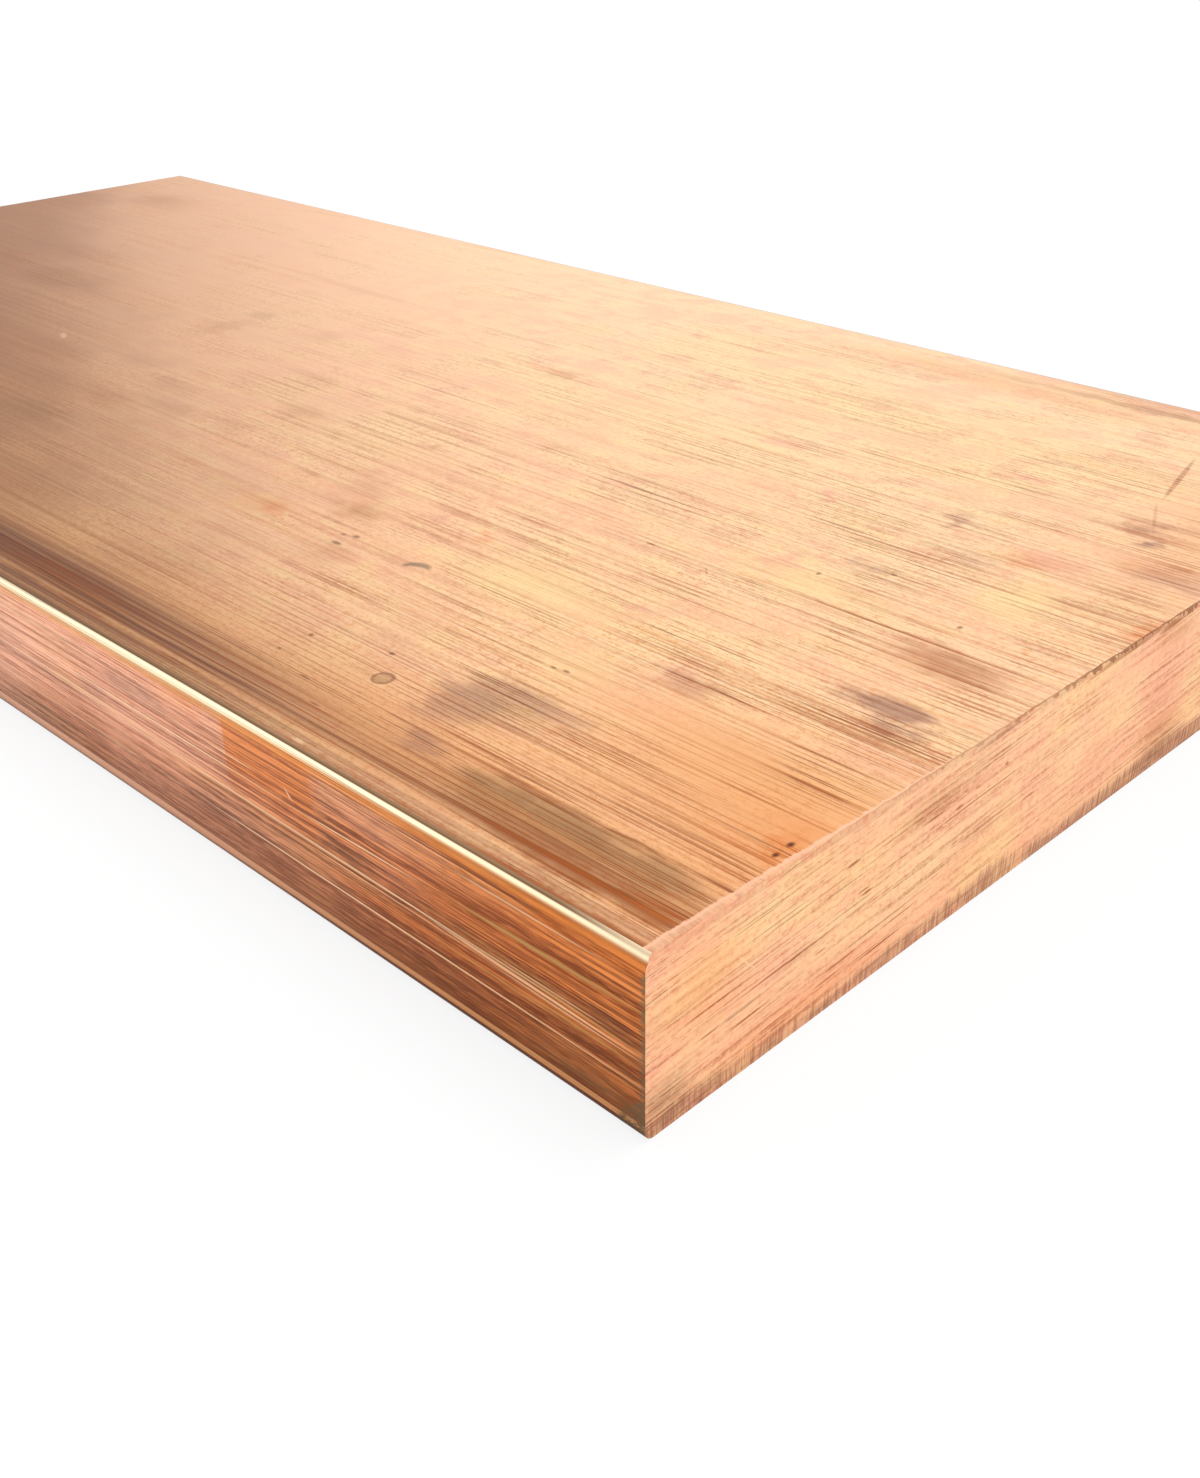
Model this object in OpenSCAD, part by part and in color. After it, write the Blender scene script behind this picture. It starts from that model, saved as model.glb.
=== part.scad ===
// Copper plate: a short length of hard-drawn flat bar, sawn off at both ends.
//
// The drawing die sets the cross-section, with flat faces and a small radius on each long corner.
// Each sawn end has its upper edge broken with a file, and its burr below taken off as a bevel.
// Frame: +X along the length, +Y across the width, +Z up, origin at the centre of the bottom face.

/* [Plate] */
// Length between the sawn ends
plate_l = 203.2; // [100:0.1:400]
// Width across the two drawn edges
plate_w = 101.6; // [50:0.1:200]
// Thickness between the two broad faces
plate_t = 12.7; // [8:0.1:25.4]

/* [Drawn section] */
// Radius that the die leaves on the four long corners
corner_r = 0.8; // [0.4:0.1:1.6]

/* [Sawn ends] */
// Width of the break filed along the upper edge of each end, measured on each face
top_break = 0.3; // [0.1:0.1:1]
// Height of the bevel filed along the lower edge of each end
bevel_h = 1.2; // [0.4:0.1:2.4]
// Depth that the bevel takes off the length at the bottom face
bevel_d = 0.3; // [0.1:0.1:1]

/* [Hidden] */

$fn = 96;
half_l = plate_l / 2;
half_w = plate_w / 2;
// Extra reach of a cutting outline past the solid that it trims
clear = 1;

// Cross-section of the drawn bar, with X across the width and Y through the thickness.
module drawn_section() {
    flat_w = plate_w - 2 * corner_r;
    flat_t = plate_t - 2 * corner_r;
    translate([-flat_w / 2, 0]) square([flat_w, plate_t]);
    translate([-half_w, corner_r]) square([plate_w, flat_t]);
    for (side = [-1, 1], level = [corner_r, plate_t - corner_r])
        translate([side * flat_w / 2, level]) circle(r = corner_r);
}

// Side view of the cut length, with X along the length and Y up.
// It stands clear of the broad faces, so that only the sawn ends and their filed edges trim the bar.
module sawn_outline() {
    break_run = top_break + clear;
    bevel_run = bevel_d * (bevel_h + clear) / bevel_h;
    right = [
        [half_l - bevel_run, -clear],
        [half_l, bevel_h],
        [half_l, plate_t - top_break],
        [half_l - break_run, plate_t + clear],
    ];
    left = [for (i = [len(right) - 1:-1:0]) [-right[i].x, right[i].y]];
    polygon(concat(right, left));
}

module drawn_bar() {
    rotate([90, 0, 90])
        translate([0, 0, -half_l - clear])
            linear_extrude(height = plate_l + 2 * clear) drawn_section();
}

module saw_cuts() {
    rotate([90, 0, 0])
        translate([0, 0, -half_w - clear])
            linear_extrude(height = plate_w + 2 * clear) sawn_outline();
}

module plate() {
    color([0.86, 0.56, 0.41])
        intersection() {
            drawn_bar();
            saw_cuts();
        }
}

plate();
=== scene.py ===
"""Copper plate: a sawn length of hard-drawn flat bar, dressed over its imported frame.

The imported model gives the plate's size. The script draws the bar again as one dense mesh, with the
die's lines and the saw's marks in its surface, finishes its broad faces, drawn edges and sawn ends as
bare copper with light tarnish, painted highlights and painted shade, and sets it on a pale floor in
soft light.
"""

import logging
import math
from collections.abc import Mapping, Sequence
from dataclasses import dataclass, field
from enum import Enum
from typing import Any

import bpy
from mathutils import Matrix, Vector

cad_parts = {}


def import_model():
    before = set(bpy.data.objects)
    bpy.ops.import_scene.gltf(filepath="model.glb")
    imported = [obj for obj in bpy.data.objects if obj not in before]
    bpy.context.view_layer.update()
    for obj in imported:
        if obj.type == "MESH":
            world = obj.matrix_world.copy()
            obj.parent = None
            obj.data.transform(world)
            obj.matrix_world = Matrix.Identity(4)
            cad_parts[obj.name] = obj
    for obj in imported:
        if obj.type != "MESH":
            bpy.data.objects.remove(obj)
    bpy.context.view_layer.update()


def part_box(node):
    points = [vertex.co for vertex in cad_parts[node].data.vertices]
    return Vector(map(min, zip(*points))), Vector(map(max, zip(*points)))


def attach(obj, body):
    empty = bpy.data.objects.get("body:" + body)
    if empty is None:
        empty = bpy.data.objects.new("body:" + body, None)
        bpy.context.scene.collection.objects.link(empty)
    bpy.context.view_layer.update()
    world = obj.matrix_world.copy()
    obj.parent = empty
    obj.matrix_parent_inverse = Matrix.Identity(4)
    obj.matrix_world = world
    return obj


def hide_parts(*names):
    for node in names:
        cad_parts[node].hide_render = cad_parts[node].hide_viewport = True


log = logging.getLogger("copper_plate")

MM = 0.001

Colour = tuple[float, float, float]


def srgb(red: int, green: int, blue: int) -> Colour:
    """Turns a display colour into the linear one that shaders use.

    Args:
        red: Red, from 0 to 255.
        green: Green, from 0 to 255.
        blue: Blue, from 0 to 255.

    Returns:
        The linear red, green and blue, from 0 to 1.
    """
    shares = [channel / 255 for channel in (red, green, blue)]
    return tuple(
        share / 12.92 if share <= 0.04045 else ((share + 0.055) / 1.055) ** 2.4 for share in shares
    )


class Copper(Enum):
    """The colours that this plate's copper shows, from bright metal to heavy tarnish.

    Some of them also paint highlights and shade into the metal's colour.
    """

    # Burnished metal, and the painted highlight on the upper corners.
    BURNISH_AND_HIGHLIGHT = srgb(255, 230, 192)
    PALE = srgb(255, 214, 168)
    CREAM = srgb(254, 217, 170)
    YELLOW = srgb(255, 222, 154)
    PEACH = srgb(255, 196, 150)
    ROSE = srgb(240, 172, 140)
    APRICOT = srgb(253, 208, 163)
    BLUSH = srgb(253, 197, 160)
    SALMON = srgb(248, 172, 135)
    GOLD = srgb(250, 180, 112)
    AMBER = srgb(240, 172, 112)
    COPPER = srgb(242, 147, 77)
    ORANGE = srgb(230, 132, 60)
    TAN = srgb(210, 145, 98)
    SLATE = srgb(164, 120, 102)
    OLIVE = srgb(146, 108, 70)
    PATINA = srgb(188, 148, 86)
    VERDIGRIS = srgb(120, 100, 70)
    RUSSET = srgb(170, 88, 32)
    BROWN = srgb(142, 82, 42)
    PLUM = srgb(132, 79, 54)
    UMBER = srgb(112, 52, 18)
    SOOT = srgb(74, 58, 50)


# ---------------------------------------------------------------------------------------------------
# Node trees
# ---------------------------------------------------------------------------------------------------


class Value:
    """A number socket of a node tree. Python arithmetic on it adds the Math nodes."""

    def __init__(self, graph: "Graph", socket: bpy.types.NodeSocket) -> None:
        """Wraps one socket.

        Args:
            graph: The graph that the socket belongs to.
            socket: The output socket to wrap.
        """
        self.graph = graph
        self.socket = socket

    def __add__(self, other: "Number") -> "Value":
        """Adds."""
        return self.graph.math("ADD", self, other)

    def __radd__(self, other: "Number") -> "Value":
        """Adds, with the number on the left."""
        return self.graph.math("ADD", other, self)

    def __sub__(self, other: "Number") -> "Value":
        """Subtracts."""
        return self.graph.math("SUBTRACT", self, other)

    def __rsub__(self, other: "Number") -> "Value":
        """Subtracts from the number on the left."""
        return self.graph.math("SUBTRACT", other, self)

    def __mul__(self, other: "Number") -> "Value":
        """Multiplies."""
        return self.graph.math("MULTIPLY", self, other)

    def __rmul__(self, other: "Number") -> "Value":
        """Multiplies, with the number on the left."""
        return self.graph.math("MULTIPLY", other, self)

    def __truediv__(self, other: "Number") -> "Value":
        """Divides."""
        return self.graph.math("DIVIDE", self, other)

    def __rtruediv__(self, other: "Number") -> "Value":
        """Divides the number on the left."""
        return self.graph.math("DIVIDE", other, self)

    def __abs__(self) -> "Value":
        """Drops the sign."""
        return self.graph.math("ABSOLUTE", self)

    def __gt__(self, other: "Number") -> "Value":
        """Gives 1 where this is the greater, and 0 elsewhere."""
        return self.graph.math("GREATER_THAN", self, other)

    def __lt__(self, other: "Number") -> "Value":
        """Gives 1 where this is the less, and 0 elsewhere."""
        return self.graph.math("LESS_THAN", self, other)


Number = Value | float


class Graph:
    """Adds nodes to one node tree, for a shader or for geometry."""

    def __init__(self, tree: bpy.types.NodeTree) -> None:
        """Starts on a tree.

        Args:
            tree: The tree that gets the nodes.
        """
        self.tree = tree

    def node(
        self,
        kind: str,
        settings: Mapping[str, Any] | None = None,
        inputs: Mapping[str | int, Any] | None = None,
    ) -> bpy.types.Node:
        """Adds any node.

        Args:
            kind: The node's type, as Blender names it.
            settings: Its properties, which are set first. "stops" gives a colour ramp's stops.
            inputs: Its sockets by name or place, each with a value, a Value or a socket to link.

        Returns:
            The new node.
        """
        made = self.tree.nodes.new(kind)
        for name, setting in (settings or {}).items():
            if name == "stops":
                self._set_stops(made, setting)
            else:
                setattr(made, name, setting)
        for key, given in (inputs or {}).items():
            self.feed(made.inputs[key], given)
        return made

    def feed(self, socket: bpy.types.NodeSocket, given: Any) -> None:
        """Links a socket, or sets its own value.

        Args:
            socket: The input socket.
            given: A Value or an output socket to link, or a plain value.
        """
        if isinstance(given, Value):
            given = given.socket
        if isinstance(given, bpy.types.NodeSocket):
            self.tree.links.new(given, socket)
        elif socket.type == "RGBA" and len(given) == 3:
            socket.default_value = (*given, 1.0)
        else:
            socket.default_value = given

    @staticmethod
    def _set_stops(ramp_node: bpy.types.Node, stops: Sequence[tuple[float, Colour]]) -> None:
        """Gives a colour ramp its stops.

        Args:
            ramp_node: The colour ramp node.
            stops: Each stop's position and colour, in order.
        """
        ramp = ramp_node.color_ramp
        while len(ramp.elements) < len(stops):
            ramp.elements.new(1.0)
        for element, (position, colour) in zip(ramp.elements, stops):
            element.position = position
            element.color = (*colour, 1.0)

    def value(
        self,
        kind: str,
        settings: Mapping[str, Any] | None = None,
        inputs: Mapping[str | int, Any] | None = None,
        output: str | int = 0,
    ) -> Value:
        """Adds any node and wraps one of its outputs.

        Args:
            kind: The node's type, as Blender names it.
            settings: Its properties.
            inputs: Its sockets' values or links.
            output: The output to wrap, by name or place.

        Returns:
            The output as a Value.
        """
        return Value(self, self.node(kind, settings, inputs).outputs[output])

    def math(self, operation: str, *operands: Number) -> Value:
        """Adds a Math node.

        Args:
            operation: The node's operation.
            operands: Its one to three inputs.

        Returns:
            The result.
        """
        return self.value("ShaderNodeMath", {"operation": operation}, dict(enumerate(operands)))

    def lowest(self, first: Number, second: Number) -> Value:
        """Gives the lower of two numbers."""
        return self.math("MINIMUM", first, second)

    def highest(self, first: Number, second: Number) -> Value:
        """Gives the higher of two numbers."""
        return self.math("MAXIMUM", first, second)

    def ramp(
        self,
        number: Number,
        low: Number,
        high: Number,
        to_low: Number = 0.0,
        to_high: Number = 1.0,
        smooth: bool = True,
    ) -> Value:
        """Maps a range of a number to another range, held at both ends.

        Args:
            number: The number to map.
            low: Where the range starts. It may be above high, for a falling mask.
            high: Where the range ends.
            to_low: The result at low.
            to_high: The result at high.
            smooth: Whether the change eases in and out.

        Returns:
            The mapped number.
        """
        settings = {"interpolation_type": "SMOOTHSTEP" if smooth else "LINEAR", "clamp": True}
        inputs = {0: number, 1: low, 2: high, 3: to_low, 4: to_high}
        return self.value("ShaderNodeMapRange", settings, inputs)

    def split(self, vector: bpy.types.NodeSocket) -> tuple[Value, Value, Value]:
        """Gives a vector's three parts.

        Args:
            vector: The vector socket.

        Returns:
            Its X, Y and Z.
        """
        parts = self.node("ShaderNodeSeparateXYZ", inputs={0: vector})
        return tuple(Value(self, socket) for socket in parts.outputs)

    def join(self, x: Number, y: Number, z: Number) -> bpy.types.NodeSocket:
        """Makes a vector of three numbers."""
        return self.node("ShaderNodeCombineXYZ", inputs={0: x, 1: y, 2: z}).outputs[0]

    def vector(self, operation: str, *operands: Any) -> bpy.types.NodeSocket:
        """Adds a Vector Math node.

        Args:
            operation: The node's operation.
            operands: Its vector inputs.

        Returns:
            The resulting vector's socket.
        """
        inputs = dict(enumerate(operands))
        return self.node("ShaderNodeVectorMath", {"operation": operation}, inputs).outputs[0]

    def placed(
        self,
        vector: bpy.types.NodeSocket,
        scale: Sequence[float],
        shift: Sequence[float] = (0.0, 0.0, 0.0),
    ) -> bpy.types.NodeSocket:
        """Scales and shifts the space of a pattern.

        Args:
            vector: The coordinates.
            scale: Repeats to the unit along each axis.
            shift: How far along the pattern to go.

        Returns:
            The pattern's coordinates.
        """
        return self.vector("MULTIPLY_ADD", vector, tuple(scale), tuple(shift))

    def noise(
        self,
        vector: bpy.types.NodeSocket,
        detail: float = 2.0,
        rough: float = 0.5,
        dimensions: str = "3D",
    ) -> Value:
        """Adds a noise of about one feature to the unit.

        Args:
            vector: The pattern's coordinates.
            detail: The number of finer layers.
            rough: The share of the finer layers.
            dimensions: How many of the coordinates count, as Blender names it.

        Returns:
            The noise, from 0 to 1 and mostly from 0.3 to 0.7.
        """
        inputs = {"Vector": vector, "Scale": 1.0, "Detail": detail, "Roughness": rough}
        return self.value("ShaderNodeTexNoise", {"noise_dimensions": dimensions}, inputs)


class Shader(Graph):
    """A graph that makes one material."""

    def __init__(self, name: str) -> None:
        """Starts a material with a Principled shader.

        Args:
            name: The material's name.
        """
        self.material = bpy.data.materials.new(name)
        self.material.use_nodes = True
        super().__init__(self.material.node_tree)
        self.tree.nodes.clear()
        self.surface = self.node("ShaderNodeBsdfPrincipled")
        output = self.node("ShaderNodeOutputMaterial")
        self.feed(output.inputs["Surface"], self.surface.outputs[0])
        object_space = self.node("ShaderNodeTexCoord").outputs["Object"]
        per_mm = 1 / MM
        place = self.vector("MULTIPLY", object_space, (per_mm, per_mm, per_mm))
        self.x, self.y, self.z = self.split(place)

    def blend(self, share: Number, base: Any, coat: Any) -> bpy.types.NodeSocket:
        """Lays one colour over another.

        Args:
            share: How much of the upper colour shows.
            base: The colour below, or its socket.
            coat: The colour above, or its socket.

        Returns:
            The blended colour's socket.
        """
        settings = {"data_type": "RGBA", "clamp_factor": True}
        colours = [part.value if isinstance(part, Copper) else part for part in (base, coat)]
        mixed = self.node("ShaderNodeMix", settings)
        self.feed(mixed.inputs[0], share)
        self.feed(mixed.inputs[6], colours[0])
        self.feed(mixed.inputs[7], colours[1])
        return mixed.outputs[2]

    def finish(
        self,
        colour: bpy.types.NodeSocket,
        roughness: Number,
        relief: Value,
        depth: float,
    ) -> bpy.types.Material:
        """Ends a bare metal material.

        Args:
            colour: The metal's colour.
            roughness: How satin the metal is.
            relief: The height of the fine relief, from 0 to 1.
            depth: What that height comes to, in millimetres.

        Returns:
            The material.
        """
        inputs = {"Strength": 1.0, "Distance": depth * MM, "Height": relief}
        bump = self.node("ShaderNodeBump", inputs=inputs)
        self.surface.inputs["Metallic"].default_value = 1.0
        self.feed(self.surface.inputs["Base Color"], colour)
        self.feed(self.surface.inputs["Roughness"], roughness)
        self.feed(self.surface.inputs["Normal"], bump.outputs[0])
        return self.material


# ---------------------------------------------------------------------------------------------------
# Finishes
# ---------------------------------------------------------------------------------------------------


@dataclass(frozen=True)
class Mark:
    """One blemish or patch of painted sheen on a face, as a soft ellipse. Sizes are in millimetres, the
    turn in degrees.
    """

    along: float
    across: float
    reach: float
    breadth: float
    share: float = 1.0
    turn: float = 0.0


@dataclass(frozen=True)
class Look:
    """How the blemishes of one kind show.

    fade is the part of the radius that the edge takes, lined is how far the drawing lines break
    the blemish up, and loose says whether its outline wanders.
    """

    colour: Copper
    fade: float
    lined: float
    loose: bool = True


class Blemish(Enum):
    """The kinds of blemish, and the painted sheen."""

    # Painted sheen: yellow patches, partly the metal's own yellow tone and partly a painted highlight.
    PAINTED_SHEEN = Look(Copper.YELLOW, fade=1.0, lined=0.0)
    LIGHT = Look(Copper.CREAM, fade=1.0, lined=0.0)
    WARMTH = Look(Copper.AMBER, fade=1.0, lined=0.15)
    GLOW = Look(Copper.ORANGE, fade=1.0, lined=0.3)
    BLOOM = Look(Copper.ROSE, fade=0.9, lined=0.2)
    SMOKE = Look(Copper.TAN, fade=1.0, lined=0.15)
    RUST = Look(Copper.RUSSET, fade=0.9, lined=0.35)
    OLIVE = Look(Copper.OLIVE, fade=0.8, lined=0.3)
    SMUDGE = Look(Copper.SLATE, fade=0.75, lined=0.25)
    STREAK = Look(Copper.BROWN, fade=0.9, lined=0.4)
    SOOT = Look(Copper.SOOT, fade=0.9, lined=0.3)
    LINE = Look(Copper.RUSSET, fade=0.6, lined=0.3, loose=False)
    PALE = Look(Copper.PALE, fade=0.6, lined=0.1, loose=False)
    PATINA = Look(Copper.PATINA, fade=0.7, lined=0.0, loose=False)
    PIT = Look(Copper.UMBER, fade=0.8, lined=0.0, loose=False)


Marks = Mapping[Blemish, Sequence[Mark]]

# The kinds that dull the metal as well as tint it.
DIRT = (Blemish.SMUDGE, Blemish.OLIVE, Blemish.STREAK, Blemish.SOOT, Blemish.RUST)

# Marks whose proportions differ by less than this share one set of coordinates.
STRETCH = 1.5

# How far a pattern moves along for each millimetre of depth, so that two opposite faces differ.
SIDE_STEP = 0.9

# How many times to the millimetre a loose outline wanders, along and across.
WANDER = (0.35, 0.8, 0.0)

# What a blemish loses between the drawing lines comes back this many times over on them.
GATHER = 1.8


class MetalShader(Shader):
    """A shader for one kind of face, which lays blemishes over bare metal."""

    def __init__(
        self,
        name: str,
        axes: tuple[int, int],
        stray: tuple[float, float],
        lean: float = 0.0,
    ) -> None:
        """Starts the material.

        Args:
            name: The material's name.
            axes: The two axes that lie in the face, along its lines and across them.
            stray: How far loose outlines wander along and across, in millimetres.
            lean: How far the face's lines lean from the first axis, in degrees.
        """
        super().__init__(name)
        self.slope = math.tan(math.radians(lean))
        parts = [self.x, self.y, self.z]
        along, across = (parts[axis] for axis in axes)
        depth = parts[3 - sum(axes)]
        if lean:
            across = across - self.slope * along
        self.flat = self.join(along, across, 0.0)
        self.sheet = self.join(along + SIDE_STEP * depth, across, 0.0)
        inputs = {"Vector": self.placed(self.sheet, WANDER), "Scale": 1.0, "Detail": 2.0}
        settings = {"noise_dimensions": "2D"}
        wave = self.node("ShaderNodeTexNoise", settings, inputs).outputs["Color"]
        wander = (2 * stray[0], 2 * stray[1], 0.0)
        shift = self.placed(wave, wander, (-stray[0], -stray[1], 0.0))
        self.wandering = self.vector("ADD", self.flat, shift)
        self.spaces: dict[tuple[bool, int], bpy.types.NodeSocket] = {}

    def pattern(
        self,
        along: float,
        across: float,
        detail: float = 2.0,
        rough: float = 0.5,
        shift: float = 0.0,
    ) -> Value:
        """Adds a noise in the plane of the face. Its two sides don't get the same one.

        Args:
            along: Features to the millimetre along the lines.
            across: Features to the millimetre across them.
            detail: The number of finer layers.
            rough: The share of the finer layers.
            shift: How far along the noise to go, which tells one pattern from the next.

        Returns:
            The noise, mostly from 0.3 to 0.7.
        """
        space = self.placed(self.sheet, (along, across, 0.0), (shift, shift, 0.0))
        return self.noise(space, detail, rough, "2D")

    def stretched(self, loose: bool, step: int) -> bpy.types.NodeSocket:
        """Gives the face's coordinates with the first axis shrunk, where long marks are round.

        Args:
            loose: Whether outlines wander in this space.
            step: How many times the axis is shrunk by STRETCH.

        Returns:
            The coordinates' socket, which is the same one for every mark that asks for it.
        """
        if (loose, step) not in self.spaces:
            place = self.wandering if loose else self.flat
            self.spaces[loose, step] = self.placed(place, (STRETCH**-step, 1.0, 0.0))
        return self.spaces[loose, step]

    def patches(self, marks: Sequence[Mark], fade: float, loose: bool = False) -> Value:
        """Makes one mask of several marks.

        Args:
            marks: The marks.
            fade: The part of the radius that the soft edge takes.
            loose: Whether the outlines wander.

        Returns:
            The mask.
        """
        mask = None
        for mark in marks:
            across = mark.across - self.slope * mark.along
            if mark.turn:
                inputs = {
                    "Vector": self.wandering if loose else self.flat,
                    "Location": (mark.along, across, 0.0),
                    "Rotation": (0.0, 0.0, math.radians(mark.turn)),
                    "Scale": (mark.reach, mark.breadth, 1.0),
                }
                space = self.node("ShaderNodeMapping", {"vector_type": "TEXTURE"}, inputs).outputs[0]
                centre = (0.0, 0.0, 0.0)
                radius = 1.0
            else:
                step = round(math.log(mark.reach / mark.breadth, STRETCH))
                space = self.stretched(loose, step)
                centre = (mark.along * STRETCH**-step, across, 0.0)
                radius = mark.breadth
            settings = {"operation": "DISTANCE"}
            away = self.value("ShaderNodeVectorMath", settings, {0: space, 1: centre}, "Value")
            part = self.ramp(away, radius, radius * (1.0 - fade), 0.0, mark.share)
            mask = part if mask is None else self.highest(mask, part)
        return mask

    def blemished(
        self,
        colour: bpy.types.NodeSocket,
        marks: Marks,
        where: Value,
        lines: Value,
    ) -> tuple[bpy.types.NodeSocket, Value]:
        """Lays every blemish, and the painted sheen, over the metal.

        Args:
            colour: The metal's colour.
            marks: The marks of each kind, in the order in which they are laid.
            where: 1 on the face that has them and 0 elsewhere.
            lines: The drawing lines, from 0 to 1.

        Returns:
            The colour, and how much dirt lies on the metal.
        """
        dirt = None
        for kind, places in marks.items():
            look = kind.value
            mask = self.patches(places, look.fade, look.loose) * where
            mask = mask * (1.0 - look.lined + GATHER * look.lined * lines)
            colour = self.blend(mask, colour, look.colour)
            if kind in DIRT:
                dirt = mask if dirt is None else self.highest(dirt, mask)
        return colour, dirt


@dataclass(frozen=True, kw_only=True)
class Finish:
    """How one kind of face looks, on a plate of these sizes. All sizes are in millimetres.

    stray is how far loose outlines wander along and across, and relief_depth is how deep the
    fine relief goes.
    """

    length: float
    width: float
    thickness: float
    stray: tuple[float, float]
    relief_depth: float


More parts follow.
